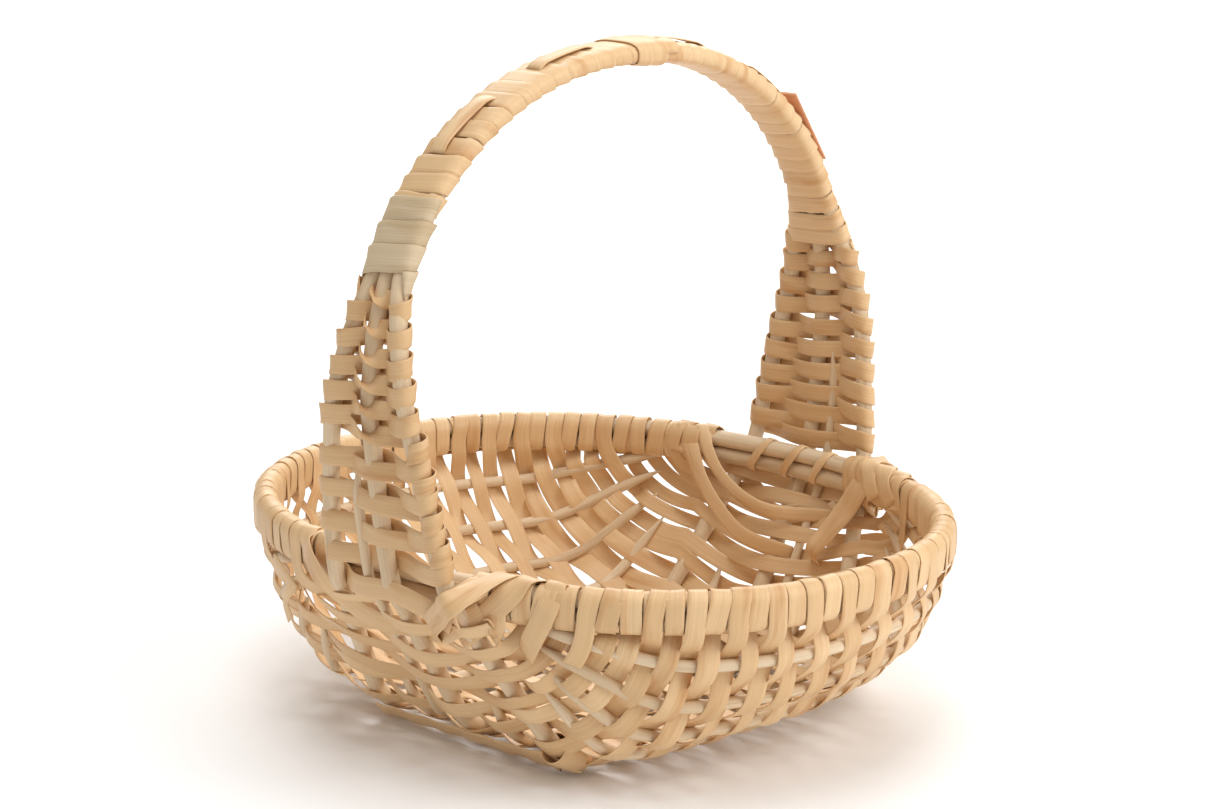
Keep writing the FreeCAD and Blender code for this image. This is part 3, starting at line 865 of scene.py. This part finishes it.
def placed(end, place, x, up):
    """Position and facing of a splint at a named place by a foot; x and up are in mm, up from the rim."""
    x, z = x * MM, RIM_Z + up * MM
    rim, wall = rim_y(x), wall_y(z)
    on_rows = RIM_ROD / 2 + 2.8 * MM
    on_rods = RIM_ROD / 2 + 0.9 * MM
    on_hoops = HOOP_R + 0.7 * MM
    slope = (rim_y(x + MM) - rim_y(x - MM)) / (2 * MM)
    out_x, out_y = unit(np.array([-slope, 1.0]))
    spots = {
        "rim_in": (x - on_rows * out_x, rim - on_rows * out_y, (-out_x, -end * out_y, 0)),
        "rim_top": (x, rim, (0, 0, 1)),
        "rim_out": (x + on_rows * out_x, rim + on_rows * out_y, (out_x, end * out_y, 0)),
        "rim_low": (x, rim, (0, 0, -1)),
        "rod_in": (x, rim - on_rods, (0, -end, 0)),
        "rod_out": (x, rim + on_rods, (0, end, 0)),
        "over": (x, wall + on_hoops, (0, end, 0)),
        "under": (x, wall - on_hoops, (0, end, 0)),
        "far_over": (x, wall + 2 * on_hoops, (0, end, 0)),
        "inside": (x, wall - 3.2 * on_hoops, (0, -end, 0)),
        "tucked": (x, wall, (0, -end, 0)),
    }
    across, y, facing = spots[place]
    return (across, end * y, z), facing


def laced(end, stops, width, rng, left=1.0):
    """A splint led through named places by a foot, with a share of its width left at the end."""
    spots = [placed(end, *stop) for stop in stops]
    path = smooth([spot[0] for spot in spots])
    marks = lengths_along(np.array([spot[0] for spot in spots]))
    run = lengths_along(path)
    at = run * marks[-1] / run[-1]
    facing = np.array([spot[1] for spot in spots], float)
    normals = np.stack([np.interp(at, marks, facing[:, k]) for k in range(3)], 1)
    widths = np.linspace(width, width * left, len(path))
    return strip(path, unit(normals + 1e-6), widths, rng, cup=0.4 * MM)


def ears(material):
    """Broad splints folded over the rim and across the hoops on both sides of each foot."""
    for end, name, routes in ((-1, "near", EAR_ROUTES), (1, "far", EAR_ROUTES + FAR_ROUTES)):
        rng = random.Random(120 + end)
        shapes = [laced(end, stops, width * MM, rng, left) for stops, width, left in routes]
        add(f"splint_ear_{name}", shapes, material, [f"ear_lashing_{name}"])


def binders(material):
    """Three narrow splints slanted round the bare rim rods inside the far foot."""
    rng = random.Random(140)
    shapes = []
    for middle in (-14, 12, 36):
        turn = [(place, middle + x, up) for place, x, up in BINDER_STOPS]
        shapes.append(laced(1, turn, 5.5 * MM, rng))
    add("splint_rim_binders_far", shapes, material, ["rim_binders_far"])


def bend_frame(end, turn):
    """The hoops' centre line in the bend under an end wall, with the ways along it and outwards."""
    _, centre_y, centre_z = wall_bend()
    out = np.array([0, end * math.sin(turn), -math.cos(turn)])
    along = np.array([0, end * math.cos(turn), math.sin(turn)])
    return np.array([0, end * centre_y, centre_z]) + out * CORNER_RADIUS, along, out


def floor_edges(material):
    """The broad splint under the bend below each foot, wound round the front hoop with a short loose tail."""
    reach = hoop_reach(FLOOR_Z)
    winding = math.radians(500)
    for end, name in ((-1, "near"), (1, "far")):
        rng = random.Random(150 + end)
        centre, along, out = bend_frame(end, 0.5)
        hoop = centre + SIDEWAYS * (HOOP_SHIFT + reach)
        facing = unit(out + np.array([0, end * 0.55, 0]))
        points, normals = [], []
        for part in np.linspace(-1.08, 1, 40)[:-1]:
            lift = HOOP_R + (2.6 + 0.4 * math.cos(3 * math.tau * part)) * MM
            across = SIDEWAYS * (HOOP_SHIFT + part * reach)
            points.append(centre + out * lift + across + along * 2 * part * MM)
            normals.append(facing)
        for part in np.linspace(0, 1, 49):
            face = out * math.cos(winding * part) + SIDEWAYS * math.sin(winding * part)
            size = HOOP_R + (2.8 + 2.0 * part) * MM
            points.append(hoop + face * size + along * (7 * part - 1) * MM)
            normals.append(face)
        points, normals = even(np.array(points), 2 * MM, np.array(normals))
        part = lengths_along(points) / lengths_along(points)[-1]
        width = np.interp(part, [0, 0.55, 0.75, 1], np.array([11, 13, 23, 20]) * MM)
        shapes = [strip(points, normals, width, rng, cup=0.3 * MM)]
        tail = [hoop + out * (HOOP_R + 4.4 * MM - drop * MM) + SIDEWAYS * x * MM + along * -6 * MM
                for x, drop in ((6, 1.5), (0, 0), (-8, 0.6), (-17, 2.0))]
        points = smooth(tail)
        shapes.append(strip(points, np.tile(out, (len(points), 1)), 6 * MM, rng))
        add(f"splint_floor_edge_{name}", shapes, material, [f"floor_edge_splint_{name}"])


def loose_ends(material, rng):
    """A cut end and a small loop that stand out beside the near foot."""
    shapes = [laced(-1, stops, 7 * MM, rng) for stops in (LOOSE_END, LOOSE_LOOP)]
    add("splint_loose_ends", shapes, material)


def behind_shoulder(material, rng):
    """The flat splint that stands off the far shoulder of the handle, behind the winding; its darker reddish
    colour is painted shade.
    """
    low, _, low_out = arch_frame(30)
    high, _, high_out = arch_frame(46)
    lower_end = low + low_out * (HOOP_R + 2 * MM) + SIDEWAYS * 9 * MM
    upper_end = high + high_out * (HOOP_R + 7 * MM) + SIDEWAYS * 9 * MM
    points = np.linspace(lower_end, upper_end, 16)
    facing = np.tile(low_out + high_out, (len(points), 1))
    flat = strip(points, facing, 13 * MM, rng, thickness=1.6 * MM)
    add("splint_behind_shoulder", [flat], material)


# ---- camera, light and floor ----

def camera():
    """A long lens from the front near corner, slightly above the rim."""
    azimuth, elevation = CAMERA_AZIMUTH, CAMERA_ELEVATION
    back = Vector((math.sin(azimuth) * math.cos(elevation), -math.cos(azimuth) * math.cos(elevation),
                   math.sin(elevation)))
    right = Vector((math.cos(azimuth), math.sin(azimuth), 0))
    middle = Vector((0, 0, RIM_Z))
    aim = middle + right * AIM_RIGHT + back.cross(right) * AIM_UP
    data = bpy.data.cameras.new("camera")
    data.lens = CAMERA_LENS
    data.sensor_width = SENSOR_WIDTH
    viewer = bpy.data.objects.new("camera", data)
    viewer.location = middle + back * CAMERA_DISTANCE
    viewer.rotation_mode = "QUATERNION"
    viewer.rotation_quaternion = (aim - viewer.location).to_track_quat("-Z", "Y")
    bpy.context.scene.collection.objects.link(viewer)
    bpy.context.scene.camera = viewer


def soft_light(name, place, aim, size, watts):
    """A square area light."""
    data = bpy.data.lights.new(name, "AREA")
    data.energy = watts
    data.size = size
    light = bpy.data.objects.new(name, data)
    light.location = place
    light.rotation_mode = "QUATERNION"
    light.rotation_quaternion = (Vector(aim) - Vector(place)).to_track_quat("-Z", "Y")
    bpy.context.scene.collection.objects.link(light)


def studio():
    """A plain pale floor, a pale world and soft lights."""
    floor_z = min(cad_bounds[0].z, 0) - FLOOR_GAP
    bpy.ops.mesh.primitive_plane_add(size=FLOOR_SIZE, location=(0, 0, floor_z))
    floor = bpy.context.object
    floor.name = "studio_floor"
    paint = bpy.data.materials.new("floor_paint")
    paint.use_nodes = True
    paint.node_tree.nodes["Principled BSDF"].inputs["Base Color"].default_value = FLOOR_COLOUR
    paint.node_tree.nodes["Principled BSDF"].inputs["Roughness"].default_value = 0.9
    floor.data.materials.append(paint)
    world = bpy.data.worlds.new("studio")
    world.use_nodes = True
    world.node_tree.nodes["Background"].inputs["Color"].default_value = WORLD_COLOUR
    world.node_tree.nodes["Background"].inputs["Strength"].default_value = WORLD_STRENGTH
    bpy.context.scene.world = world
    for name, light in LIGHTS.items():
        soft_light(name, *light)
    bpy.context.scene.view_settings.view_transform = "Standard"


def main():
    """Build the basket, then the camera and the studio."""
    splint, pale, peeled, painted_shade_splint = [wood(name, *tones) for name, tones in WOODS.items()]
    rim_rods(peeled)
    hoops(peeled)
    ribs(peeled)
    stakes(peeled)
    weave(splint)
    rim_wraps(splint)
    handle_wrap(splint, pale)
    overlay(splint)
    foot_weave(-1, "near", splint, top=168 * MM, change=84 * MM, low_pitch=9.8 * MM, high_pitch=7.4 * MM,
               doubled=True)
    foot_weave(1, "far", splint, top=136 * MM, change=110 * MM, low_pitch=7.2 * MM, high_pitch=7.0 * MM,
               doubled=False)
    ears(splint)
    binders(splint)
    floor_edges(splint)
    rng = random.Random(160)
    loose_ends(splint, rng)
    # The strip behind the shoulder takes the reddish wood, whose darker tone is painted shade.
    behind_shoulder(painted_shade_splint, rng)
    camera()
    studio()


main()
